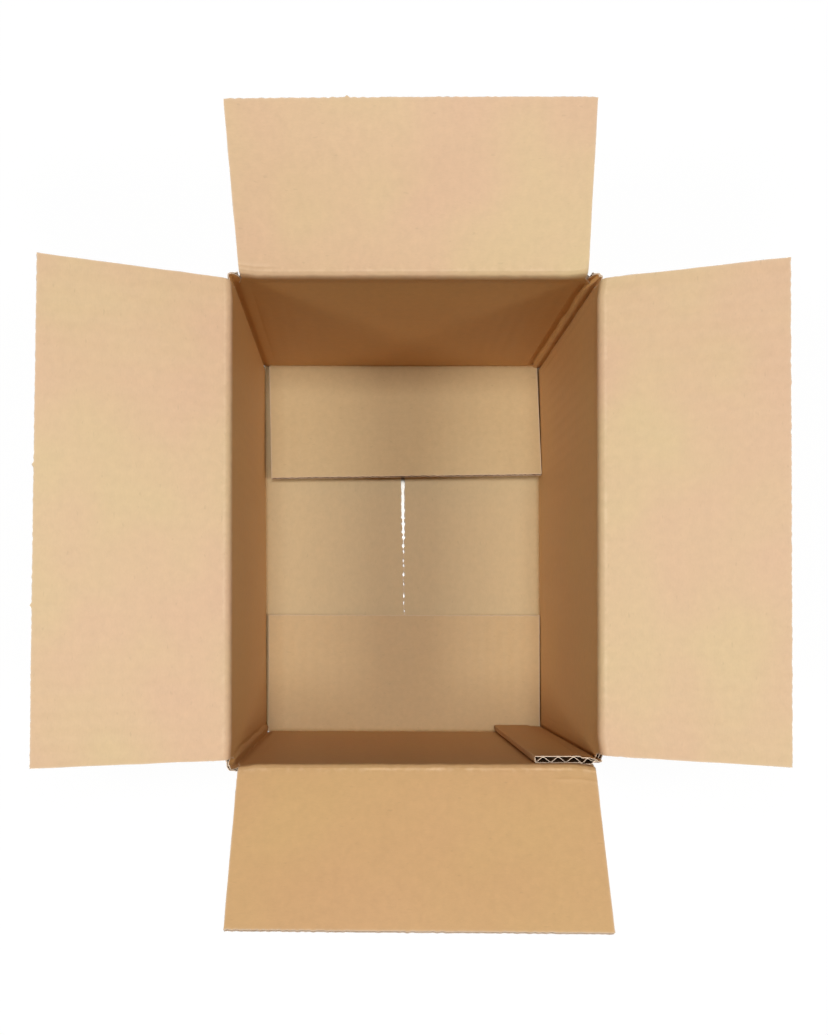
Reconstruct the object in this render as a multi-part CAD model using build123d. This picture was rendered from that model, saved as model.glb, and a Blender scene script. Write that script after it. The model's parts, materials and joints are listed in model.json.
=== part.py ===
"""Open cardboard box: a regular slotted carton of single-wall corrugated board.

One sheet is folded round four walls and joined at the near right corner by a glue tab. Its four
bottom flaps are folded shut and held by a strip of packing tape, and its four top flaps stand
open. The left and right flaps are the long outer ones, the near and far flaps the short inner
ones. Millimetres, +Z up, +X to the right, +Y to the far side, origin on the resting face.
"""

import os
from math import cos, radians, sin

from build123d import *

os.makedirs("parts", exist_ok=True)

# Inside of the closed box, the size that it is sold by
inner_width = 152
inner_length = 203
inner_height = 152

# Corrugated board: two liners glued to a fluted medium, open for this depth at a cut edge
board = 3.0
liner = 0.3
medium = 0.35
flute_pitch = 6.5
flute_crest = 0.9
flute_foot = 0.6
flute_depth = 12
edge_margin = 0.5

# Folds: outside radius, and the bead of crushed board that a fold raises inside
fold_radius = 2.0
fold_bead = 2.0

# Slot between two neighbouring flaps
slot_width = 6.3

# Bottom flaps: reach of the inner ones, seam between the outer ones, and how they lie
inner_flap_length = 66
seam_far = 2.0
seam_near = 0.6
layer_gap = 0.3
lifted_flap_deg = 10

# Top flaps: reach from the crease
left_flap_length = 74.5
right_flap_length = 71
far_flap_length = 64.5
near_flap_length = 64.5

# Top flaps as they stand open, in degrees above level
left_raise_deg = 17.5
right_raise_deg = 15.5
far_raise_deg = 18
near_raise_deg = 27

# Crease that a top flap turns on: its axis stands just outside the wall, and the mitred edges of
# wall and flap keep this clearance when the flap is shut
hinge_offset = 0.15
fold_clearance = 0.3
mitre_deg = 45

# Glue tab: an extension of the right wall, glued inside the near wall
tab_width = 26.3
tab_setback = 1.5

# Packing tape under the seam, turned up the near and far walls
tape = 0.08
tape_width = 48
tape_leg = 50

# Sizes that follow
outer_width = inner_width + 2 * board
outer_length = inner_length + 2 * board
outer_flap_width = inner_length + board - slot_width
inner_flap_width = inner_width + board - slot_width
outer_level = tape
inner_level = outer_level + board + layer_gap
floor_level = inner_level + board
rim_level = floor_level + inner_height
inner_crease = rim_level + board
outer_crease = inner_crease + board + layer_gap


def flute_openings(width):
    """The open flutes on a cut edge, along X, with the board's depth along Y from zero."""
    count = int((width + 2 * flute_foot - 2 * edge_margin) / flute_pitch)
    foot = (flute_pitch - 2 * flute_foot) / 2
    crest = flute_crest / 2
    top = board - liner - medium
    standing = Polygon((-foot, liner), (foot, liner), (crest, top), (-crest, top), align=None)
    hanging = Pos(0, board) * Rot(Z=180) * standing
    standing_row = [place * standing for place in GridLocations(flute_pitch, 0, count, 1)]
    hanging_row = [place * hanging for place in GridLocations(flute_pitch, 0, count - 1, 1)]
    return standing_row + hanging_row


def board_edge(width):
    """Cut edge of the board: a strip one board deep, with its flutes open."""
    return Rectangle(width, board, align=(Align.CENTER, Align.MIN)) - flute_openings(width)


def fluted_end(width, end):
    """Last stretch of a flat flap that reaches out along Y, with its flutes open at the end."""
    return extrude(Plane.XZ.offset(-end) * board_edge(width), flute_depth)


def strip(outline, width):
    """Board bent to an outline in Y and Z, as wide as stated along X."""
    face = Plane.YZ * Polygon(*outline, align=None)
    return extrude(face, width / 2, both=True)


def facing(side, distance, level):
    """Place for something drawn towards +Y: on the far, left, near or right wall."""
    turn = {"far": 0, "left": 90, "near": 180, "right": 270}[side]
    return Pos(0, 0, level) * Rot(Z=turn) * Pos(0, distance, 0)


def wall_distance(side):
    """From the middle of the box to the outer face of a wall."""
    return outer_length / 2 if side in ("far", "near") else outer_width / 2


def walls():
    """Four walls in plan: three folded corners, and the near wall's cut end at the fourth."""
    corner = Align.MIN, Align.MIN
    left, right = -outer_width / 2, outer_width / 2
    near, inner_near = -outer_length / 2, -inner_length / 2
    upper = Pos(left, inner_near) * Rectangle(outer_width, inner_length + board, align=corner)
    lower = Pos(left, near) * Rectangle(outer_width - fold_radius, board, align=corner)
    upper_right = upper.vertices().filter_by(lambda v: v.X > 0 or v.Y > 0)
    lower_left = lower.vertices().filter_by(lambda v: v.X < 0 and v.Y < inner_near - liner)
    outline = fillet(upper_right, fold_radius) + fillet(lower_left, fold_radius)
    inside = Rectangle(inner_width, inner_length)
    folded = inside.vertices().filter_by(lambda v: v.X < 0 or v.Y > 0)
    return Pos(0, 0, floor_level) * extrude(outline - chamfer(folded, fold_bead), inner_height)


def glue_tab():
    """End of the sheet, folded in from the right wall and glued to the near wall's inner face."""
    edge = Pos((inner_width - tab_width) / 2, -inner_length / 2) * board_edge(tab_width)
    return Pos(0, 0, floor_level + tab_setback) * extrude(edge, inner_height - 2 * tab_setback)


def crease_lip(side, width, crease):
    """Top of a wall between two slots, mitred on the inside so that the flap can shut over it."""
    outline = (-board, 0), (0, 0), (0, crease - rim_level), (-board, crease - rim_level - board)
    solid = crease - rim_level > board
    lip = strip(outline if solid else outline[1:], width)
    return facing(side, wall_distance(side), rim_level) * lip


def bottom_flap(side, width, length, level, lift_deg=0):
    """Foot of a wall with the flap folded in from it at a level, lifted by an angle."""
    along, across = cos(radians(lift_deg)), sin(radians(lift_deg))
    run = length - flute_depth
    meet = (board + board * across) / along
    outline = (
        (0, 0),
        (-run * along, run * across),
        (-run * along + board * across, run * across + board * along),
        (-board, meet * across + board * along),
        (-board, floor_level + board - level),
        (0, floor_level + board - level),
    )
    folded = strip(outline, width)
    fold = folded.edges().filter_by(Axis.X).filter_by(lambda e: e.center().Y == 0 and e.center().Z == 0)
    end = Rot(X=-lift_deg) * Rot(Z=180) * fluted_end(width, length)
    return facing(side, wall_distance(side), level) * (fillet(fold, fold_radius) + end)


def seam():
    """Gap between the two outer bottom flaps, wider at the far end."""
    far, near = seam_far / 2, seam_near / 2
    half = outer_length / 2
    outline = Polygon((-far, half), (-near, -half), (near, -half), (far, half), align=None)
    return Pos(0, 0, outer_level) * extrude(outline, board + layer_gap / 2)


def carton_body():
    """Walls, glue tab, closed bottom flaps and the lips that the top flaps turn on."""
    bottom_reach = outer_width / 2
    pieces = [glue_tab()]
    for side in ("left", "right"):
        pieces.append(crease_lip(side, outer_flap_width, outer_crease))
        pieces.append(bottom_flap(side, outer_flap_width, bottom_reach, outer_level))
    for side, lift_deg in (("near", 0), ("far", lifted_flap_deg)):
        pieces.append(crease_lip(side, inner_flap_width, inner_crease))
        pieces.append(bottom_flap(side, inner_flap_width, inner_flap_length, inner_level, lift_deg))
    return walls() + pieces - seam()


def top_flap(side, width, crease, length, raise_deg):
    """Top flap, standing open at an angle above level, with a mitred edge along its crease."""
    start = hinge_offset + fold_clearance / sin(radians(mitre_deg))
    run = length - flute_depth
    root = strip(((start, 0), (run, 0), (run, board), (start + board, board)), width)
    flap = Pos(0, 0, hinge_offset) * (root + fluted_end(width, length))
    axis = facing(side, wall_distance(side) + hinge_offset, crease + hinge_offset)
    return axis * Rot(X=raise_deg) * flap


def base_tape():
    """Clear tape under the seam, pressed round the bottom edge and up the near and far walls."""
    bottom = Align.CENTER, Align.MIN
    outside = Rectangle(outer_length + 2 * tape, tape_leg, align=bottom)
    inside = Pos(0, tape) * Rectangle(outer_length, tape_leg, align=bottom)
    outside = fillet(outside.vertices().filter_by(lambda v: v.Y < tape), board + tape)
    inside = fillet(inside.vertices().filter_by(lambda v: v.Y < board), board)
    return extrude(Plane.YZ * (outside - inside), tape_width / 2, both=True)


outer_flap = outer_flap_width, outer_crease
inner_flap = inner_flap_width, inner_crease

nodes = {
    "carton_body": carton_body(),
    "flap_left": top_flap("left", *outer_flap, left_flap_length, left_raise_deg),
    "flap_right": top_flap("right", *outer_flap, right_flap_length, right_raise_deg),
    "flap_far": top_flap("far", *inner_flap, far_flap_length, far_raise_deg),
    "flap_near": top_flap("near", *inner_flap, near_flap_length, near_raise_deg),
    "base_tape": base_tape(),
}

for name, solid in nodes.items():
    export_step(solid, f"parts/{name}.step")

print("outside", outer_width, outer_length, "floor", floor_level, "rim", rim_level)
print("outer crease axis", outer_width / 2 + hinge_offset, outer_crease + hinge_offset)
print("inner crease axis", outer_length / 2 + hinge_offset, inner_crease + hinge_offset)
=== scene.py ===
# %% [markdown]
# # An open cardboard box
#
# A shipping box of this kind is one flat sheet of corrugated board. It is scored, slotted and
# folded round four walls, and one narrow tab glues it shut. So this lesson models it the same way:
# one sheet with a real thickness, whose two paper liners and wavy middle ply are bent round every
# corner and crease. The CAD model gives the places and sizes, and the surfaces are worked out here.

# %% Tools and frame
import json

import bpy
import numpy as np
from mathutils import Matrix, Vector


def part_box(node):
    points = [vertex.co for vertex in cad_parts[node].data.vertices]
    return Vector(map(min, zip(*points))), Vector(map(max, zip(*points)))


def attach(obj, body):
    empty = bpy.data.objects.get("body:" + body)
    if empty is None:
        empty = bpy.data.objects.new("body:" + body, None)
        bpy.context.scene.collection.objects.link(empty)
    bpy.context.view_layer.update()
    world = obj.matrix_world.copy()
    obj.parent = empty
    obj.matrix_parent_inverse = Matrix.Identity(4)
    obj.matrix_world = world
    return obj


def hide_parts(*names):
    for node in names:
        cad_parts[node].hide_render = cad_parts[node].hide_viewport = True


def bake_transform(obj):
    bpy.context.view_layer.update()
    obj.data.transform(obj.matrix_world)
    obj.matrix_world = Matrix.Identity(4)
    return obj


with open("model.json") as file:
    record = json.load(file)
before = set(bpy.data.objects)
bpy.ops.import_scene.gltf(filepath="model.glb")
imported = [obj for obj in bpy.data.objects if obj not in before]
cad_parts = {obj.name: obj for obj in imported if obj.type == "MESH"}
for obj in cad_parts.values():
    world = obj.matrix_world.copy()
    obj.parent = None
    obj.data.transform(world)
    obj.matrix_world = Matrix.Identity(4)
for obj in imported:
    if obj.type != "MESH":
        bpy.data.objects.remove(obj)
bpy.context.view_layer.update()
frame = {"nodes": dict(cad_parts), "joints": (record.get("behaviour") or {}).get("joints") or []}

# %% [markdown]
# ## Sizes of the board and of the sheet
#
# The walls' size and the creases' places are read from the frame. The board's own sizes are those
# of common B flute board: 3 mm thick, with a flute every 6.5 mm. A place on the sheet is told by two
# numbers, as on a drawing of the flat blank: u runs round the walls, across the flutes, and v runs
# up, along the flutes.

# %% Sizes
mm = 0.001
degree = np.pi / 180
board = 3.0 * mm
liner = 0.34 * mm
medium = 0.32 * mm
pitch = 6.5 * mm
steps_per_flute = 10
washboard = 0.025 * mm
flute_shift = 1.9 * mm

half_width, half_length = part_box("carton_body")[1][:2]
creases = {joint["child"]: joint for joint in frame["joints"]}
floor_level = 6.38 * mm
rim_level = 158.38 * mm
split_level = 152 * mm
foot_level = 9 * mm
cut_setback = 4.4 * mm
tab_reach = 28.9 * mm
tab_gap = 0.6 * mm
tab_bottom, tab_top = 7.9 * mm, 156.9 * mm

# %% [markdown]
# ## The walls in plan
#
# Seen from above, the sheet starts at the near wall's cut end, turns right at four folds and ends
# in the glue tab, which lies inside the near wall. The list below walks that path once. Every side
# then knows its heading, its inward direction and the u of its middle.

# %% Path of the sheet round the box
cut_end = half_width - cut_setback
long_leg, short_leg = 2 * half_length, 2 * half_width
legs = np.array([half_width + cut_end, long_leg, short_leg, long_leg - board, tab_reach])
folds = np.concatenate(([0], np.cumsum(legs)))
headings = np.array([(-1, 0), (0, 1), (1, 0), (0, -1), (-1, 0)], float)
inwards = np.stack((headings[:, 1], -headings[:, 0]), axis=1)
starts = np.concatenate(([(0, 0)], np.cumsum(headings * legs[:, None], axis=0)))[:5]
starts += (cut_end, -half_length)
middles = {
    "near": cut_end,
    "left": folds[1] + half_length,
    "far": folds[2] + half_width,
    "right": folds[3] + half_length,
}
side_names = list(middles)
print("sheet round the box:", round(folds[-1] / mm, 1), "mm")


def standing(side, along, outward, level):
    """Points of a side: along its heading from its middle, outward from its outer face, and level."""
    leg = side_names.index(side)
    reach = half_length if side in ("near", "far") else half_width
    spot = along[..., None] * headings[leg] - (outward + reach)[..., None] * inwards[leg]
    return np.concatenate((spot, level[..., None]), axis=-1)


# %% [markdown]
# ## Smooth chance
#
# Paper is never quite flat and a knife never cuts quite straight. One small function gives a smooth
# random field, as a sum of cosine waves, and it is used wherever a surface or an edge wanders.

# %% Smooth noise
def wander(u, v, length, seed, waves=11):
    """Sum of cosine waves of about one length, with random headings and phases, mostly within 1."""
    chance = np.random.default_rng(seed)
    total = 0
    for heading, phase, stretch in chance.uniform((0, 0, 0.7), (2 * np.pi, 2 * np.pi, 1.4), (waves, 3)):
        turn = 2 * np.pi / (length * stretch)
        total = total + np.cos(turn * (u * np.cos(heading) + v * np.sin(heading)) + phase)
    return total / np.sqrt(waves)


def soft_step(value):
    """Rises from 0 to 1 as the value does, level at both ends."""
    share = np.clip(value, 0, 1)
    return share * share * (3 - 2 * share)


# %% [markdown]
# ## One piece of corrugated board
#
# Corrugated board is three sheets of paper: two flat liners, and a wavy medium glued between them.
# A block with a picture of flutes would do for a far view, but every cut edge of this box shows the
# waves, and light passes through them. So a piece is three thin closed shells. Each is a grid over
# u and v, laid by a place function that turns u, v and the depth under the outer face into a point.

# %% Shells of paper
def shell(low, high):
    """Closed shell between two grids of points: the outer grid, the inner grid, and the rim round them.

    Each grid square becomes a quad, turned round on the outer grid, and the rim's quads join the
    two borders, walked once round counter-clockwise.
    """
    rows, columns = high.shape[:2]
    index = np.arange(rows * columns).reshape(rows, columns)
    squares = index[:-1, :-1], index[:-1, 1:], index[1:, 1:], index[1:, :-1]
    inner = np.stack(squares, axis=-1).reshape(-1, 4)
    border = np.concatenate((index[0, :-1], index[:-1, -1], index[-1, :0:-1], index[:0:-1, 0]))
    following = np.roll(border, -1)
    count = rows * columns
    rim = np.stack((border, following, following + count, border + count), axis=-1)
    faces = np.concatenate((inner[:, ::-1], inner + count, rim))
    return np.concatenate((low.reshape(-1, 3), high.reshape(-1, 3))), faces


def make_mesh(name, points, faces, sheet_map=None, values=None, sharp=50):
    """Mesh object from arrays of points and quads, with a map and one number a point where given."""
    mesh = bpy.data.meshes.new(name)
    mesh.vertices.add(len(points))
    mesh.vertices.foreach_set("co", points.astype(np.float32).ravel())
    mesh.loops.add(faces.size)
    mesh.loops.foreach_set("vertex_index", faces.astype(np.int32).ravel())
    mesh.polygons.add(len(faces))
    mesh.polygons.foreach_set("loop_start", np.arange(0, faces.size, 4, dtype=np.int32))
    mesh.update(calc_edges=True)
    if sheet_map is not None:
        layer = mesh.uv_layers.new(name="sheet")
        layer.uv.foreach_set("vector", sheet_map[faces.ravel()].astype(np.float32).ravel())
    for label, numbers in (values or {}).items():
        attribute = mesh.attributes.new(label, "FLOAT", "POINT")
        attribute.data.foreach_set("value", numbers.astype(np.float32))
    mesh.shade_smooth()
    mesh.set_sharp_from_angle(angle=sharp * degree)
    piece = bpy.data.objects.new(name, mesh)
    bpy.context.scene.collection.objects.link(piece)
    return piece


def flute_wave(u, v):
    """Height of the medium between the liners, from -1 to 1.

    It is a triangle wave with its tips cut off, so the flanks are straight and the crests short and
    flat, and its phase wanders a little.
    """
    phase = 2 * np.pi * (u + flute_shift) / pitch + 0.25 * wander(u, v * 0.1, 60 * mm, 3)
    triangle = np.arcsin(np.cos(phase)) * 2 / np.pi
    return np.clip(1.3 * triangle, -1, 1)


def corrugated(name, place, u, v, cut, creased=0, painted_shade=0, sandy=0, closed=0):
    """Three shells laid by a place function over a grid.

    u is a row of columns, v a grid of rows by columns, and cut the distance of each grid point from
    the nearest cut edge. The liners sink a little between the flutes that they are glued to, and
    where a knife has run along the flutes the board is pinched and the medium closes it. The other
    values are kept for the finish: how scuffed by a crease or sandy the paper is, and how much
    painted shade darkens it. The faces inside the flutes are marked for painted shade too.
    """
    grid_u = np.broadcast_to(u, v.shape)
    closed = closed + 0 * v
    wave = flute_wave(grid_u, v)
    middle = board / 2 + (board / 2 - liner - medium / 2) * wave * (1 - closed)
    half = medium / 2 * (1 - closed) + (board / 2 - liner) * closed
    outer_face = washboard * (1 + wave)
    inner_face = board - washboard * (1 - wave)
    plies = (
        (outer_face, outer_face + liner),
        (middle - half, middle + half),
        (inner_face - liner, inner_face),
    )
    points, faces, maps, flute_shade = [], [], [], []
    total = 0
    for ply, (low, high) in enumerate(plies):
        low, high = [board / 2 + (face - board / 2) * (1 - 0.25 * closed) for face in (low, high)]
        shell_points, shell_faces = shell(place(grid_u, v, low), place(grid_u, v, high))
        points.append(shell_points)
        faces.append(shell_faces + total)
        total += len(shell_points)
        flat = np.stack((grid_u, v + ply), axis=-1).reshape(-1, 2)
        maps.append(np.tile(flat, (2, 1)))
        # Faces inside the flutes are marked for painted shade, except where the board is pinched shut.
        flute_shade.append(np.repeat((ply > 0, ply < 2), v.size))
    values = {"flute_shade": np.concatenate(flute_shade) * np.tile(1 - closed.ravel(), 6)}
    given = {"cut": np.exp(-cut / (0.2 * mm)), "creased": creased, "painted_shade": painted_shade, "sandy": sandy}
    for label, numbers in given.items():
        values[label] = np.tile((numbers + 0 * v).ravel(), 6)
    piece = make_mesh(name, np.concatenate(points), np.concatenate(faces), np.concatenate(maps), values)
    print(name, "columns", v.shape[1], "rows", v.shape[0], "quads", len(piece.data.polygons))
    return piece


def flute_columns(start, end, extra=()):
    """Columns between two cuts: ten to a flute, close together beside the cuts, and extra ones."""
    step = pitch / steps_per_flute
    inside = np.arange(np.ceil(start / step), np.floor(end / step) + 1) * step
    inside = inside[(inside > start + 1.4 * mm) & (inside < end - 1.4 * mm)]
    near_cut = np.array([0, 0.15, 0.45, 0.9]) * mm
    columns = np.concatenate((start + near_cut, inside, end - near_cut, np.array(extra)))
    return np.unique(np.round(columns, 6))


# %% [markdown]
# ## The four walls
#
# A cardboard box is seldom quite square. Here the feet stand a millimetre or two wider than the rim,
# so every point of the carton below the rim is shifted a little at the end, mixed from its four
# corners.
#
# A vertical fold pinches the board: the outer liner rounds off, and the inner liner is squeezed into
# a bead with a groove at each edge. The two faces are therefore worked out on their own, and every
# point between them is found by its share of the board's depth.

# %% Spread feet
foot_spread = {
    (-1, -1): (-1.2, -0.85),
    (1, -1): (0.3, -1.25),
    (-1, 1): (-2.6, 0.9),
    (1, 1): (-0.7, 0.9),
}


def spread(points):
    """Points shifted by a bilinear mix of the four corners' shifts, times their depth below the rim."""
    x, y, z = points[..., 0], points[..., 1], points[..., 2]
    depth_share = np.clip((rim_level - z) / (rim_level - floor_level), 0, 1)
    right_share = np.clip(0.5 + 0.5 * x / half_width, 0, 1)
    far_share = np.clip(0.5 + 0.5 * y / half_length, 0, 1)
    moved = points.copy()
    for (side_x, side_y), shift in foot_spread.items():
        weight = right_share if side_x > 0 else 1 - right_share
        weight = weight * (far_share if side_y > 0 else 1 - far_share) * depth_share
        moved[..., :2] += weight[..., None] * np.array(shift) * mm
    return moved


# %% Folded corners
fold_zone = 9.6 * mm
bead_half = 1.3 * mm
rim_bead = 1.5 * mm
corners = {
    1: {"radius": 2.4, "bead": (1.5, 4.4), "swell": 0.15, "groove": (1.3, 0.5), "soft": (1.5, 1.2)},
    2: {"radius": 2.4, "bead": (0.15, 0.25), "swell": 0.0, "groove": (1.6, 1.3), "soft": (0.5, 1.2)},
    3: {"radius": 2.4, "bead": (4.8, 1.2), "swell": 0.2, "groove": (1.6, 1.7), "soft": (1.0, 0.8)},
    4: {"radius": 1.5, "bead": (0.15, 0.15), "swell": 0.0, "groove": (1.6, 1.6), "soft": (0.5, 0.5)},
}
rim_crush = {1: 0.86, 2: 0.97, 3: 1.0, 4: 1.0}
crushed_share = {1: 0.38, 2: 0.38, 3: 0.38, 4: 0.66}
crushed_plies = (-0.13, -0.02, 0.02, 0.13)
crush_depth = 4 * mm
crush_half = 4.4 * mm
bow_depth = np.array([-0.3, 0.6, 0.5, 0.5, 0]) * mm
dent_depth = 0.22 * mm
# Painted shade: how far each leg (near, left, far, right, tab) is mixed toward a darker, redder brown
# that stands in for the shade inside the box, then the near top flap's and near bottom flap's own
# amounts.
leg_painted_shade = np.array([0.80, 1.1, 1.25, 1.0, 0.85])
flap_painted_shade = np.array([0.75, 0, 0, 0])
floor_painted_shade = np.array([0.30, 0, 0, 0])


def folded_corner(fold, offset, level, share):
    """Points of one vertical fold in plan.

    The outer face is a parabolic arc between the two walls. The inner face is a straight strip
    across the corner, swollen in the middle, with a rounded groove along each of its edges. The
    share of the depth mixes the two. Under a slot's cut the two faces are crushed together.
    """
    made = corners[fold]
    before, after = headings[fold - 1], headings[fold]
    corner = starts[fold]
    radius = made["radius"] * mm
    turn = np.clip((offset + radius) / (2 * radius), 0, 1)
    back, ahead = np.minimum(offset + radius, 0), np.maximum(offset - radius, 0)
    along_before = back - radius * (1 - turn) ** 2
    along_after = ahead + radius * turn**2
    outer = corner + along_before[..., None] * before + along_after[..., None] * after

    fade = soft_step((rim_level - level) / (12 * mm))
    vary = 1 + 0.1 * wander(level, 0 * level, 25 * mm, 40 + fold)
    full_widths = np.array(made["bead"]) * mm
    rim_widths = np.minimum(rim_bead, full_widths)
    width_before, width_after = [
        (rim_width + (full_width - rim_width) * fade) * vary
        for rim_width, full_width in zip(rim_widths, full_widths)
    ]
    across = np.clip(offset / bead_half, -1, 1)
    past = np.maximum(np.abs(offset) - bead_half, 0) / (fold_zone - bead_half)
    reach = fold_zone - board
    along_before = -width_before * (1 - across) / 2 - past * (reach - width_before) * (offset < 0)
    along_after = width_after * (1 + across) / 2 + past * (reach - width_after) * (offset > 0)
    from_before = np.hypot(along_before + width_before, along_after)
    from_after = np.hypot(along_before, along_after - width_after)
    (deep_before, deep_after), (soft_before, soft_after) = made["groove"], made["soft"]
    dip = deep_before * mm * np.exp(-((from_before / (soft_before * mm)) ** 2))
    dip = np.maximum(dip, deep_after * mm * np.exp(-((from_after / (soft_after * mm)) ** 2)))
    raised = made["swell"] * mm * (1 - across**2) - dip
    inner_corner = corner + board * (after - before)
    inner = inner_corner + (along_before - raised * 0.7)[..., None] * before
    inner = inner + (along_after + raised * 0.7)[..., None] * after

    below_rim = (rim_level - level) / crush_depth
    crush = rim_crush[fold] * np.exp(-(below_rim**2) - (offset / crush_half) ** 8)
    ply_shares = (0, liner / board, 1 - liner / board, 1)
    flat = crushed_share[fold] + np.interp(share, ply_shares, crushed_plies)
    share = share + crush * (flat - share)
    return outer + share[..., None] * (inner - outer)


# %% Walls
def wall_inset(leg, past, v):
    """How far a wall's face lies inside its plane, from its bow, its dents and the tab's gap."""
    upright = soft_step((v - foot_level) / (30 * mm)) * soft_step((split_level - v) / (30 * mm))
    middle = np.sin(np.pi * np.clip(past / legs[leg], 0, 1))
    dent = dent_depth * wander(folds[leg] + past, v, 55 * mm, 7) * (leg < 4)
    dent = dent * soft_step(past / (30 * mm))
    behind = tab_gap * (leg == 4) * soft_step((past - board) / (4 * mm))
    return upright * middle * (bow_depth[leg] + dent) + behind


def wall_place(u, v, depth):
    """Points of the walls: u round the sheet, v the level, depth in from the outer face."""
    leg = np.clip(np.searchsorted(folds, u, side="right") - 1, 0, 4)
    past = u - folds[leg]
    inset = depth + wall_inset(leg, past, v)
    spot = starts[leg] + past[..., None] * headings[leg] + inset[..., None] * inwards[leg]
    for fold in range(1, 5):
        offset = u - folds[fold]
        near = np.abs(offset) < fold_zone
        folded = folded_corner(fold, offset, v, depth / board)
        spot = np.where(near[..., None], folded, spot)
    return spread(np.concatenate((spot, v[..., None]), axis=-1))


def flap_span(side):
    """The u of a top flap's two side cuts, from its CAD node."""
    low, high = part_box("flap_" + side)
    half = (high[0] - low[0]) / 2 if side in ("near", "far") else (high[1] - low[1]) / 2
    return middles[side] - half, middles[side] + half


spans = {side: flap_span(side) for side in side_names}
slot_step = 0.02 * mm
fold_columns = []
for fold in folds[1:5]:
    fold_columns.extend(fold + np.linspace(-3.6, 3.6, 37) * mm)
step_columns = []
for start, end in spans.values():
    step_columns.extend((start - slot_step, start, end, end + slot_step))

tab_start = spans["right"][1]
wall_u = flute_columns(0, tab_start, [u for u in fold_columns + step_columns if u < tab_start])


def in_flap(u):
    """True at the columns that carry on into a flap, false at a slot."""
    found = np.zeros_like(u, bool)
    for start, end in spans.values():
        found |= (u > start - slot_step / 2) & (u < end + slot_step / 2)
    return found


slot_top = rim_level + 0.15 * mm * wander(wall_u, 0 * wall_u, 3 * mm, 21)
wall_top = np.where(in_flap(wall_u), split_level, slot_top)
foot_drop = 3.4 * mm
foot_drop_half = 3.5 * mm
slot_bottom = np.full_like(wall_u, floor_level)
for fold in (2, 3):
    slot_bottom -= foot_drop * np.exp(-(((wall_u - folds[fold]) / foot_drop_half) ** 4))
wall_bottom = np.where(in_flap(wall_u), foot_level, slot_bottom)
low_rows = [0, 0.004, 0.03, 0.1, 0.2, 0.3, 0.4, 0.5]
high_rows = [0.6, 0.7, 0.8, 0.9, 0.95, 0.97, 0.985, 0.994, 1]
wall_rows = np.array(low_rows + high_rows)
wall_v = wall_bottom + wall_rows[:, None] * (wall_top - wall_bottom)
slot_cut = np.minimum(wall_top - wall_v, wall_v - wall_bottom) + 9 * in_flap(wall_u)
end_cut = np.broadcast_to(wall_u, wall_v.shape)
# Painted shade: each wall leg's amount of the darker brown that stands in for the shade inside the box.
wall_painted_shade = leg_painted_shade[np.searchsorted(folds, wall_u, side="right") - 1]
wall_cut = np.minimum(slot_cut, end_cut)
walls = corrugated("walls", wall_place, wall_u, wall_v, wall_cut, painted_shade=wall_painted_shade)

# %% [markdown]
# ## The glue tab
#
# The sheet's last leg is folded in behind the near wall and glued there. Its top edge is cut a few
# millimetres below the crease, so from above it shows the board's waves best of all.

# %% Glue tab
def tab_edge(u, fold_edge, tab_edge_level):
    """Level of the tab's cut edge: the rim's at the fold, then within a few millimetres its own."""
    return fold_edge + (tab_edge_level - fold_edge) * soft_step((u - folds[4]) / (3 * mm))


tab_u = flute_columns(tab_start, folds[5], fold_columns[-37:])
tab_u = tab_u[tab_u >= tab_start]
ragged = 0.12 * mm * wander(tab_u, 0 * tab_u, 2.5 * mm, 22)
tab_high = tab_edge(tab_u, rim_level, tab_top) + ragged
tab_low = tab_edge(tab_u, floor_level, tab_bottom) - ragged
tab_rows = np.array([0, 0.003, 0.02, 0.15, 0.3, 0.45, 0.6, 0.75, 0.9, 0.96, 0.985, 0.995, 0.998, 1])
tab_v = tab_low + tab_rows[:, None] * (tab_high - tab_low)
tab_cut = np.minimum(np.minimum(tab_high - tab_v, tab_v - tab_low), folds[5] - tab_u + 0.25 * mm)
tab_closed = np.exp(-(((folds[5] - tab_u) / (0.3 * mm)) ** 4))
# The tab carries the same painted shade as the walls.
tab = corrugated("glue_tab", wall_place, tab_u, tab_v, tab_cut, painted_shade=leg_painted_shade[4], closed=tab_closed)

# %% [markdown]
# ## The four top flaps
#
# A top flap is the same sheet carried on over its crease. Round the crease, every ply keeps its own
# distance from the hinge line, so the fold stays a fold when the flap swings. The flaps are drawn
# slightly warped: each one stands 1 to 10 degrees higher at one end than at the other.

# %% Top flaps
crease_roll = 2.4 * mm
soft_high = 0.5 * mm
crease_crush = 0.08
burr_height = 0.8 * mm
burr_half = 0.7 * mm
top_flaps = {
    "near": {
        "raised": (27.0, 29.1), "reach": (64.8, 64.1), "trim": ((-0.25, 0.8), (-1.45, -0.1)),
        "curl": 0.2, "drawn_in": 1.1, "soft": 2.4, "ridge": (0.36, 0.62),
        "second": (4.6, 0.0, 0.13, 0.14), "burrs": (), "seed": 31,
    },
    "left": {
        "raised": (10.5, 18.5), "reach": (75.1, 73.0), "trim": ((-1.6, -0.2), (-1.65, 0.2)),
        "curl": 0.3, "drawn_in": 0.5, "soft": 1.7, "ridge": (0.14, 1),
        "second": (9, 0, 0, 0), "burrs": (0.321, 0.594), "seed": 32,
    },
    "far": {
        "raised": (27.1, 16.9), "reach": (63.0, 64.4), "trim": ((-1.8, 1.0), (-3.0, -3.0)),
        "curl": -0.2, "drawn_in": 1.0, "soft": 2.8, "ridge": (0.17, 1),
        "second": (1.9, 0.0, 0.11, 0.16), "burrs": (0.325,), "seed": 33,
    },
    "right": {
        "raised": (15.9, 14.4), "reach": (70.1, 70.4), "trim": ((-1.25, 0.4), (-3.7, -1.3)),
        "curl": 0.3, "drawn_in": 1.2, "soft": 1.7, "ridge": (0.20, 1),
        "second": (9, 0, 0, 0), "burrs": (), "seed": 34,
    },
}


def along_flap(side, u):
    """Share of the flap's width, from 0 at its first side cut to 1 at its last."""
    start, end = spans[side]
    return (u - start) / (end - start)


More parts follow.
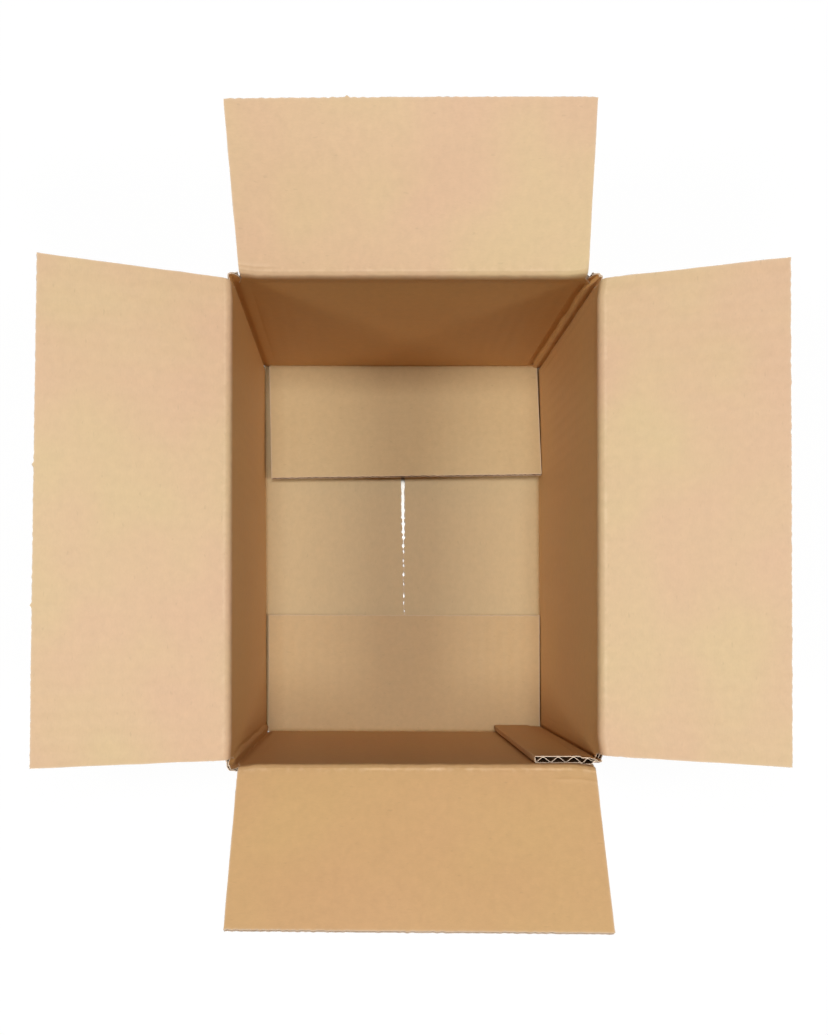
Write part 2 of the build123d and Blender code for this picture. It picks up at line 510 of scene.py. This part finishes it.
def trimmed(side, u, outward_share, flaps=top_flaps):
    """How far a column shifts along the crease, so that both side cuts lie where the real ones do.

    Each side cut has a trim at its root and at its tip. A column's shift is mixed from the two
    sides by its share of the width, and from root to tip by its share of the reach.
    """
    first, last = flaps[side]["trim"]
    share = along_flap(side, u)
    first_shift = -(first[0] + (first[1] - first[0]) * outward_share)
    last_shift = last[0] + (last[1] - last[0]) * outward_share
    return (first_shift * (1 - share) + last_shift * share) * mm


def flap_reach(side, u):
    """Distance from the crease to the flap's tip at each column, with a ragged cut and small burrs."""
    first, last = top_flaps[side]["reach"]
    share = along_flap(side, u)
    ragged = 0.1 * mm * wander(u, 0 * u, 3 * mm, top_flaps[side]["seed"] + 20)
    for place in top_flaps[side]["burrs"]:
        past = u - spans[side][0] - place * np.diff(spans[side])
        ragged += burr_height * np.exp(-((past / burr_half) ** 2))
    return (first + (last - first) * share) * mm + ragged


def crease_relief(side, u, v):
    """Height of the scored crease's bead over the flap's upper face.

    The bead climbs slowly from the wall's side and falls within a millimetre on the flap's, and its
    height wanders along the crease. A short second line runs beside it at one end of some flaps.
    """
    settings = top_flaps[side]
    climb = soft_step((v + 3 * mm) / (crease_roll + 3 * mm))
    fall = 1 - soft_step((v - crease_roll + 0.2 * mm) / (1.1 * mm))
    broken = 0.7 + 0.4 * wander(u, 0 * v, 15 * mm, settings["seed"] + 5)
    ridge, ridge_end = settings["ridge"]
    share = along_flap(side, u)
    faded = 1 - 0.7 * soft_step((share - ridge_end) / 0.1)
    relief = ridge * mm * climb * fall * np.maximum(broken, 0.1) * faded
    distance, begin, end, height = settings["second"]
    limits = soft_step((share - begin + 0.02) / 0.02) * soft_step((end - share) / 0.03)
    past = (v - crease_roll - distance * mm) / (0.45 * mm)
    return relief + height * mm * limits * np.exp(-(past**2))


def top_flap_place(side):
    """Place function of one top flap.

    v is zero at the hinge line. Below it the sheet is the wall. Round zero it turns about the hinge
    line, at a radius of its depth plus the hinge's offset, and beyond the roll it runs straight at
    the flap's angle, plus a slight curl and dents. The rim is drawn in a little between the corners.
    """
    settings = top_flaps[side]
    start, end = spans[side]
    position = creases[side + "_flap"]["pos_m"]
    axis_level = position[2]
    reach = half_length if side in ("near", "far") else half_width
    axis_out = max(abs(position[0]), abs(position[1])) - reach

    def place(u, v, depth):
        share = along_flap(side, u)
        first, last = settings["raised"]
        full_turn = (90 - (first + (last - first) * share)) * degree
        low = settings["soft"] * mm * (1 + 0.12 * wander(u, 0 * v, 7 * mm, settings["seed"] + 7))
        turned = full_turn * soft_step((v + low) / (crease_roll + low + soft_high))
        below = np.minimum(v, 0)
        beyond = np.maximum(v - crease_roll, 0)
        pinch = np.exp(-(((v - crease_roll / 2) / (1.6 * mm)) ** 2))
        pressed = depth * (1 - crease_crush * pinch) + 0.1 * mm * pinch * (1 - depth / board)
        reached = beyond / (70 * mm)
        dents = 0.2 * mm * soft_step(reached * 2) * wander(u, v, 60 * mm, settings["seed"])
        radius = axis_out + pressed + settings["curl"] * mm * reached**2 + dents
        radius = radius + crease_relief(side, u, v) * depth / board
        side_gap = np.minimum(u - start, end - u)
        drawn_in = settings["drawn_in"] * mm * soft_step((side_gap + 1 * mm) / (10 * mm))
        drawn_in = drawn_in * soft_step((v + 9 * mm) / (9 * mm)) * (1 - soft_step(beyond / (40 * mm)))
        outward = axis_out - radius * np.cos(turned) + beyond * np.sin(turned) - drawn_in
        level = axis_level + radius * np.sin(turned) + below + beyond * np.cos(turned)
        out_share = (v - (split_level - axis_level)) / (75 * mm)
        root_share = soft_step((v - (split_level - axis_level)) / (6 * mm))
        ragged = 0.09 * mm * wander(v, 0 * v + share, 3 * mm, settings["seed"] + 9)
        ragged = ragged * np.exp(-side_gap / (0.5 * mm)) * soft_step(reached * 20)
        along = u - middles[side] + trimmed(side, u, out_share) * root_share + ragged
        return standing(side, along, outward, level)

    return place, axis_level


def top_flap(side):
    """One top flap with the strip of wall below its crease."""
    place, axis_level = top_flap_place(side)
    start, end = spans[side]
    u = flute_columns(start, end)
    reach = flap_reach(side, u)
    wall_rows = split_level - axis_level + np.array([0, 0.3, 0.6]) * (axis_level - split_level)
    roll_rows = np.linspace(-3.1 * mm, crease_roll, 13)
    near_gaps = np.array([0.25, 0.5, 0.8, 1.1, 1.5, 1.9, 2.3, 3, 3.8, 4.3, 4.7, 5.2, 6.5]) * mm
    near_rows = crease_roll + near_gaps
    tip_gaps = np.array([0.9, 0.35, 0.12, 0]) * mm
    flat_rows = crease_roll + np.linspace(0.15, 0.975, 10)[:, None] * reach
    tip_rows = crease_roll + reach - tip_gaps[:, None]
    fixed = np.concatenate((wall_rows, roll_rows, near_rows))[:, None] + 0 * u
    v = np.concatenate((fixed, flat_rows, tip_rows))
    tip_cut = crease_roll + reach - v
    side_cut = np.minimum(u - start, end - u) + 0 * v
    cut = np.minimum(tip_cut, side_cut)
    creased = np.exp(-(((v - crease_roll - 0.3 * mm) / (1.3 * mm)) ** 2))
    leg = side_names.index(side)
    # Painted shade: the wall strip takes its wall's amount, and the flap itself takes the flap's own,
    # which darkens only the near flap.
    on_wall = 1 - soft_step((v + 4 * mm) / (4 * mm))
    painted_shade = flap_painted_shade[leg] + (leg_painted_shade[leg] - flap_painted_shade[leg]) * on_wall
    closed = np.exp(-((side_cut / (0.3 * mm)) ** 4) - ((v + 2 * mm) / (6 * mm)) ** 4)
    piece = corrugated("flap_" + side + "_board", place, u, v, cut, creased, painted_shade, closed=closed)
    hinge = np.array(creases[side + "_flap"]["pos_m"])
    outward = -np.append(inwards[side_names.index(side)], 0)
    raised = np.mean(top_flaps[side]["raised"]) * degree
    bend_way = np.array((0, 0, 1.0)) + outward * np.cos(raised) + np.array((0, 0, np.sin(raised)))
    bend_way /= np.linalg.norm(bend_way)
    side + "_flap"
    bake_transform(piece)
    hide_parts("flap_" + side)
    return piece


flap_pieces = {side: top_flap(side) for side in side_names}

# %% [markdown]
# ## The four bottom flaps
#
# The bottom flaps fold in under the walls: the near and far ones lie on top, and the left and right
# ones meet below them in a seam. Here the fold turns about a line on the board's inner side. The far
# flap has sprung up a little, and the seam is wider at its far end.

# %% Bottom flaps
fold_gap = 0.2 * mm
bottom_roll = 4.0 * mm
outer_level = 0.08 * mm
inner_level = 3.38 * mm
bottom_flaps = {
    "near": {
        "level": inner_level, "lift": (0.6, 0.6), "reach": (67.3, 67.3),
        "trim": ((1.15, 1.45), (0.65, 0.2)), "seed": 61,
    },
    "left": {
        "level": outer_level, "lift": (0, 0), "trim": ((2.2, 2.2), (3.2, 3.2)), "seed": 62,
    },
    "far": {
        "level": inner_level, "lift": (7.0, 10.0), "reach": (66.9, 65.4),
        "trim": ((-0.65, -2.4), (0.65, 1.4)), "seed": 63,
    },
    "right": {
        "level": outer_level, "lift": (0, 0), "trim": ((3.2, 3.2), (2.2, 2.2)), "seed": 64,
    },
}


def seam_edges(y):
    """Middle line of the seam and its half width at each place along it.

    The gap closes from the far end to the near one and its edges wander, so that it breaks up into
    short openings where it is nearly shut.
    """
    middle = 0.45 * mm - 4 * mm * y + 0.12 * mm * wander(y, 0 * y, 8 * mm, 65)
    closing = 2.1 * mm * soft_step((y + 12 * mm) / (46 * mm)) - 0.1 * mm
    torn = np.maximum(wander(y, 0 * y, 3.0 * mm, 66) + 0.15, 0) * soft_step((30 * mm - y) / (14 * mm))
    gap = closing + 0.8 * mm * torn + 0.25 * mm * wander(y, 0 * y, 7 * mm, 67)
    return middle, np.maximum(gap, 0.06 * mm) / 2


def bottom_reach(side, u):
    """Distance from the wall's outer face to the bottom flap's tip at each column."""
    if side in ("near", "far"):
        first, last = bottom_flaps[side]["reach"]
        return (first + (last - first) * along_flap(side, u)) * mm
    toward = 1 if side == "left" else -1
    middle, half_gap = seam_edges(toward * (u - middles[side]))
    return half_width + toward * middle - half_gap


def bottom_flap_place(side):
    """Place function of one bottom flap.

    v is zero where the wall's foot starts to fold and falls from there. The sheet turns about a
    line just inside the board, each ply at its own radius, and then runs inward to its tip.
    """
    settings = bottom_flaps[side]
    start_level = settings["level"] + board + fold_gap

    def place(u, v, depth):
        share = along_flap(side, u)
        lift = settings["lift"][0] + (settings["lift"][1] - settings["lift"][0]) * share
        down = np.maximum(-v, 0)
        turned = (90 + lift) * degree * soft_step((down + 0.5 * mm) / (bottom_roll + 1 * mm))
        pinch = np.exp(-(((down - bottom_roll / 2) / (1.8 * mm)) ** 2))
        pressed = depth * (1 - 0.25 * pinch) + 0.35 * mm * pinch * (1 - depth / board)
        beyond = np.maximum(down - bottom_roll, 0)
        reached = beyond / (70 * mm)
        sag = 0.2 * mm * soft_step(reached * 3) * wander(u, v, 55 * mm, settings["seed"])
        radius = board + fold_gap - pressed + sag * (lift > 0)
        outward = -(board + fold_gap) + radius * np.cos(turned) - beyond * np.sin(turned)
        level = start_level - radius * np.sin(turned) - beyond * np.cos(turned) + np.maximum(v, 0)
        widened = trimmed(side, u, reached, bottom_flaps) * soft_step((down - 0.8 * mm) / (2.4 * mm))
        return spread(standing(side, u - middles[side] + widened, outward, level))

    return place, start_level


def bottom_flap(side):
    """One bottom flap with the foot of its wall."""
    place, start_level = bottom_flap_place(side)
    start, end = spans[side]
    u = flute_columns(start, end)
    seed = bottom_flaps[side]["seed"]
    straight = bottom_reach(side, u) - board - fold_gap + 0.1 * mm * wander(u, 0 * u, 3 * mm, seed)
    tip_gaps = np.array([0, 0.12, 0.35, 0.9, 2.2]) * mm
    tip_rows = -(bottom_roll + straight - tip_gaps[:, None])
    flat_rows = -(bottom_roll + np.linspace(0.95, 0.1, 9)[:, None] * straight)
    roll_rows = -np.linspace(bottom_roll + 3 * mm, -0.5 * mm, 12)
    wall_rows = np.linspace(0.5 * mm, foot_level - start_level, 4)[1:]
    fixed = np.concatenate((roll_rows, wall_rows))[:, None] + 0 * u
    v = np.concatenate((tip_rows, flat_rows, fixed))
    tip_cut = v + bottom_roll + straight
    side_cut = np.minimum(u - start, end - u) + 0 * v
    creased = np.exp(-(((v + bottom_roll / 2) / (2.2 * mm)) ** 2))
    leg = side_names.index(side)
    # Painted shade: the upright foot takes its wall's amount and the lying flap its own, which darkens
    # only the near bottom flap.
    upright = soft_step(1 + v / bottom_roll)
    painted_shade = floor_painted_shade[leg] + (leg_painted_shade[leg] - floor_painted_shade[leg]) * upright
    cut = np.minimum(tip_cut, side_cut)
    return corrugated("bottom_" + side, place, u, v, cut, creased, painted_shade, 1 - upright)


bottom_pieces = {side: bottom_flap(side) for side in side_names}

for piece in [walls, tab, *bottom_pieces.values()]:
    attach(piece, "carton")
    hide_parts("carton_body")

# %% [markdown]
# ## Packing tape
#
# One strip of clear tape holds the seam from below and turns up the near and far walls. It is a thin
# closed sheet with a shallow crinkle, cut with saw teeth where it was torn off its dispenser.

# %% Clear tape
tape_low, tape_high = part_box("base_tape")
tape_half = tape_high[0]
tape_leg = tape_high[2]
tape_thick = 0.06 * mm
tape_corner = 2.6 * mm
tape_lift = 0.12 * mm
tape_base = 0.07 * mm


def tape_path(distance):
    """Side view of the tape, from the near leg under the base to the far one: y, z and outward."""
    flat = half_length - tape_corner
    arc = tape_corner * np.pi / 2
    past = np.abs(distance) - flat
    turn = np.clip(past / arc, 0, 1) * np.pi / 2
    up = np.maximum(past - arc, 0)
    way = np.sign(distance)
    y = way * (np.minimum(np.abs(distance), flat) + tape_corner * np.sin(turn))
    z = tape_corner * (1 - np.cos(turn)) + up
    outward = np.stack((way * np.sin(turn), -np.cos(turn)), axis=-1)
    return y, z, outward


def tape_grid(lift):
    """Grid of the tape at a height above the board, with crinkles that fade at the folds."""
    across = np.linspace(-tape_half, tape_half, 97)
    full = half_length - tape_corner + tape_corner * np.pi / 2 + tape_leg - tape_corner
    tooth = 0.45 * mm * np.abs((np.arange(97) % 4) - 2)
    share = np.linspace(-1, 1, 241)[:, None]
    distance = share * (full - tooth)
    x = across + 0 * distance
    y, z, outward = tape_path(distance)
    crinkle = 0.03 * mm * (1 + wander(x, distance * 0.35, 12 * mm, 71)) * soft_step(z / (10 * mm))
    on_near = y < 0
    leg, past = np.where(on_near, 0, 2), np.where(on_near, cut_end - x, half_width + x)
    rise = lift + crinkle + tape_lift * soft_step(z / (10 * mm))
    rise = rise - wall_inset(leg, past, z) * np.abs(outward[..., 0])
    lowest = z + rise * outward[..., 1] + tape_base
    return np.stack((x, y + rise * outward[..., 0], lowest), axis=-1)


tape_points, tape_faces = shell(spread(tape_grid(0 * mm)), spread(tape_grid(tape_thick)))
tape_map = np.tile(tape_points[: len(tape_points) // 2, :2], (2, 1))
tape = make_mesh("clear_tape", tape_points, tape_faces[:, ::-1], tape_map)
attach(tape, "carton")
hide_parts("base_tape")
print("tape quads", len(tape.data.polygons))

# %% [markdown]
# ## Shader maths as plain sums
#
# A finish is a formula over the surface. A small class wraps a socket, so that the formula can be
# written as a Python sum, and each operator adds its Math node.

# %% Sockets with operators
class Signal:
    """A node's output that adds, subtracts, multiplies, divides and raises like a number."""

    def __init__(self, finish, socket):
        self.finish = finish
        self.socket = socket

    def maths(self, operation, first, second):
        return self.finish.node("ShaderNodeMath", {0: first, 1: second}, operation=operation)

    def __add__(self, other):
        return self.maths("ADD", self, other)

    __radd__ = __add__

    def __mul__(self, other):
        return self.maths("MULTIPLY", self, other)

    __rmul__ = __mul__

    def __sub__(self, other):
        return self.maths("SUBTRACT", self, other)

    def __rsub__(self, other):
        return self.maths("SUBTRACT", other, self)


class Finish:
    """A material with one Principled shader, and a method that adds any other node."""

    def __init__(self, name):
        self.material = bpy.data.materials.new(name)
        self.material.use_nodes = True
        self.tree = self.material.node_tree
        self.shader = self.tree.nodes["Principled BSDF"]

    def feed(self, socket, value):
        """Links a signal to a socket, or sets a plain value there."""
        if isinstance(value, Signal):
            self.tree.links.new(value.socket, socket)
        else:
            socket.default_value = value

    def node(self, kind, inputs=None, output=0, **settings):
        """Adds a node, sets it, then feeds its sockets, and gives one of its outputs."""
        node = self.tree.nodes.new(kind)
        for name, value in settings.items():
            setattr(node, name, value)
        for socket, value in (inputs or {}).items():
            self.feed(node.inputs[socket], value)
        return Signal(self, node.outputs[output])

    def set(self, **values):
        """Feeds the shader's own sockets, with spaces written as underscores."""
        for name, value in values.items():
            self.feed(self.shader.inputs[name.replace("_", " ")], value)

    def noise(self, place, size, detail=2.0, rough=0.5):
        """Noise whose lumps are about the stated size, in metres."""
        sockets = {"Vector": place, "Scale": 1 / size, "Detail": detail, "Roughness": rough}
        return self.node("ShaderNodeTexNoise", sockets)

    def ramp(self, value, low, high, start=0.0, end=1.0):
        """Smooth step of a value from start to end between low and high."""
        sockets = {"Value": value, "From Min": low, "From Max": high, "To Min": start, "To Max": end}
        return self.node("ShaderNodeMapRange", sockets, interpolation_type="SMOOTHSTEP")

    def mix(self, factor, first, second):
        """Colour between two colours."""
        sockets = {0: factor, 6: first, 7: second}
        return self.node("ShaderNodeMix", sockets, output=2, data_type="RGBA")

    def tint(self, colour, strength):
        """Colour times a number."""
        return self.node("ShaderNodeVectorMath", {0: colour, "Scale": strength}, operation="SCALE")


# %% [markdown]
# ## Kraft paper
#
# Kraft liner is brown paper with cloudy patches, fine fibres along the machine's run, a few darker
# shives and a trace of the flutes below it. A cut edge is paler, because it shows the paper's core.
# Shade is painted in as well: the walls, the glue tab, the near top flap and the near bottom flap
# are mixed toward a darker, redder brown, and the faces inside the flutes toward a dark brown.

# %% Kraft board
kraft_warm = (0.695, 0.452, 0.275, 1)
kraft_sandy = (0.665, 0.494, 0.258, 1)
kraft_scuffed = (0.780, 0.560, 0.350, 1)
core_colour = (0.810, 0.665, 0.515, 1)
# Painted shade colours: a dark brown for the faces inside the flutes, and a darker, redder brown for
# the walls and the near flaps.
flute_shade_colour = (0.300, 0.150, 0.062, 1)
painted_shade_colour = (0.600, 0.325, 0.108, 1)

kraft = Finish("kraft_board")
sheet = kraft.node("ShaderNodeUVMap", uv_map="sheet")
run = kraft.node("ShaderNodeMapping", {"Vector": sheet, "Scale": (0.4, 1.0, 1.0)})
cloud = kraft.noise(sheet, 0.060, 2)
patch = kraft.noise(sheet, 0.007, 3, 0.6)
fibre = kraft.noise(run, 0.0007, 3, 0.6)
grain = kraft.noise(sheet, 0.0030, 2)
shive = kraft.ramp(kraft.noise(run, 0.0016, 1), 0.70, 0.78)
tone = 1 + (cloud - 0.5) * 0.04 + (patch - 0.5) * 0.10 + (fibre - 0.5) * 0.09 + (grain - 0.5) * 0.11
tone = tone - shive * 0.07
cut = kraft.node("ShaderNodeAttribute", attribute_name="cut", output=2)
flute_shade = kraft.node("ShaderNodeAttribute", attribute_name="flute_shade", output=2)
painted_shade = kraft.node("ShaderNodeAttribute", attribute_name="painted_shade", output=2)
creased = kraft.node("ShaderNodeAttribute", attribute_name="creased", output=2)
scuff = creased * kraft.ramp(kraft.noise(sheet, 0.003, 2), 0.42, 0.65)
sandy = kraft.node("ShaderNodeAttribute", attribute_name="sandy", output=2)
paper = kraft.mix(kraft.ramp(cloud + sandy, 0.25, 0.85), kraft_warm, kraft_sandy)
# Painted shade: walls, tab and the near flaps are mixed toward a darker, redder brown, and the faces
# inside the flutes toward a dark brown.
paper = kraft.mix(painted_shade * 0.8, paper, painted_shade_colour)
paper = kraft.mix(flute_shade, paper, flute_shade_colour)
paper = kraft.mix(scuff * 0.24, paper, kraft_scuffed)
paper = kraft.mix(cut * 0.8, paper, core_colour)
kraft.set(Base_Color=kraft.tint(paper, tone), Roughness=0.52 + patch * 0.06 + cut * 0.3)
relief = fibre + grain * 0.6 + patch * 0.8
bump = kraft.node("ShaderNodeBump", {"Strength": 0.25, "Distance": 0.00008, "Height": relief})
kraft.set(Normal=bump)
kraft.shader.inputs["Specular IOR Level"].default_value = 0.45

# %% [markdown]
# ## Clear tape
#
# Packing tape is a glossy film that lets most light through, so it is mostly seen by its shine and a
# faint yellow. A low alpha with a smooth surface does both.

# %% Clear film
film = Finish("clear_tape")
film_place = film.node("ShaderNodeUVMap", uv_map="sheet")
film_haze = film.noise(film_place, 0.006, 2)
film.set(Base_Color=(0.94, 0.78, 0.44, 1))
film.set(Roughness=0.10 + film_haze * 0.12, Alpha=0.26 + film_haze * 0.08)

for piece in [walls, tab, *bottom_pieces.values(), *flap_pieces.values()]:
    piece.data.materials.append(kraft.material)
tape.data.materials.append(film.material)
for node in frame["nodes"].values():
    node.data.materials.clear()
    node.data.materials.append(kraft.material)

# %% [markdown]
# ## Floor, light and camera
#
# The box stands on a white floor under soft studio light, seen from above. The camera sees the
# floor as white by itself, so no light is wasted on bleaching it, and a soft shadow stays. Under the
# box the floor does not glow, except along the bottom seam, where its glow shows through the tape as
# painted glints. Height and focal length trade off in a view from straight above: 1050 pixels goes
# with a 152 mm wall, and that height is assumed from a stock box, not measured.

# %% Floor and world
def area_light(name, place, target, size, power):
    """Square soft light at a place, facing a target."""
    lamp = bpy.data.lights.new(name, "AREA")
    lamp.shape = "SQUARE"
    lamp.size = size
    lamp.energy = power
    light = bpy.data.objects.new(name, lamp)
    light.location = place
    way = np.array(target) - np.array(place)
    light.rotation_euler = aim(way)
    bpy.context.scene.collection.objects.link(light)
    return light


def aim(way):
    """Turn that points an object's -Z along a direction."""
    return Vector(way).to_track_quat("-Z", "Y").to_euler()


floor_points = np.array([(-4, -4, 0), (4, -4, 0), (4, 4, 0), (-4, 4, 0)], float) - (0, 0, 0.0002)
floor = make_mesh("floor", floor_points, np.array([[0, 1, 2, 3]]))
backdrop = Finish("white_floor")
backdrop.set(Base_Color=(0.80, 0.80, 0.80, 1), Roughness=0.9)
white = backdrop.node("ShaderNodeEmission", {"Color": (1, 1, 1, 1), "Strength": 1.03})
ray_kinds = "Is Camera Ray", "Is Glossy Ray", "Is Transmission Ray"
rays = [backdrop.node("ShaderNodeLightPath", output=kind) for kind in ray_kinds]
seen = backdrop.ramp(rays[0] + rays[1] + rays[2], 0, 1, 0, 0.92)
spot = backdrop.node("ShaderNodeTexCoord", output="Object")
across, along = [backdrop.node("ShaderNodeSeparateXYZ", {0: spot}, output=axis) for axis in ("X", "Y")]
across = backdrop.node("ShaderNodeMath", {0: across + 0.001}, operation="ABSOLUTE")
along = backdrop.node("ShaderNodeMath", {0: along}, operation="ABSOLUTE")
# The floor's glow is switched off under the box except for a band across its middle, so the seam shows
# painted glints through the tape.
mask_x, mask_y, seam_glow_gap = (0.0785, 0.079), (0.1035, 0.104), (0.0375, 0.0395)
under = backdrop.ramp(across, *mask_x, 1, 0) * backdrop.ramp(along, *mask_y, 1, 0)
under = under * backdrop.ramp(along, *seam_glow_gap)
lit = Signal(backdrop, backdrop.shader.outputs[0])
shown = backdrop.node("ShaderNodeMixShader", {0: seen * (1 - under), 1: lit, 2: white})
backdrop.tree.links.new(shown.socket, backdrop.tree.nodes["Material Output"].inputs["Surface"])
floor.data.materials.append(backdrop.material)

world = bpy.data.worlds.new("studio")
bpy.context.scene.world = world
world.use_nodes = True
sky = world.node_tree.nodes["Background"]
sky.inputs["Color"].default_value = (1, 1, 1, 1)
sky.inputs["Strength"].default_value = 0.06

lit_spot = (0, 0, 0.1)
area_light("overhead", (0, 0.1, 1.8), lit_spot, 0.35, 13.7)
area_light("right_side", (0.95, -0.25, 1.45), lit_spot, 0.3, 8.3)
area_light("left_side", (-0.95, -0.25, 1.45), lit_spot, 0.3, 8.8)

# %% Camera
lens_camera = bpy.data.cameras.new("camera")
camera = bpy.data.objects.new("camera", lens_camera)
bpy.context.scene.collection.objects.link(camera)
bpy.context.scene.camera = camera
photo_width, photo_height = 828, 1035
sensor = 36
focal_pixels = 1050
centre_pixel = (378.6, 616.6)
lens_camera.sensor_width = sensor
lens_camera.lens = sensor * focal_pixels / photo_height
lens_camera.shift_x = (photo_width / 2 - centre_pixel[0]) / photo_height
lens_camera.shift_y = (centre_pixel[1] - photo_height / 2) / photo_height
forward = np.array((0.0037, 0.0087, -1.0))
forward /= np.linalg.norm(forward)
rightward = np.cross(forward, (-0.0008, 1, 0))
rightward /= np.linalg.norm(rightward)
upward = np.cross(rightward, forward)
turn = Matrix(np.stack((rightward, upward, -forward), axis=1).tolist()).to_4x4()
camera_place = (-0.0168, -0.0436, 0.5956)
camera.matrix_world = Matrix.Translation(camera_place) @ turn

bpy.context.scene.view_settings.view_transform = "Standard"
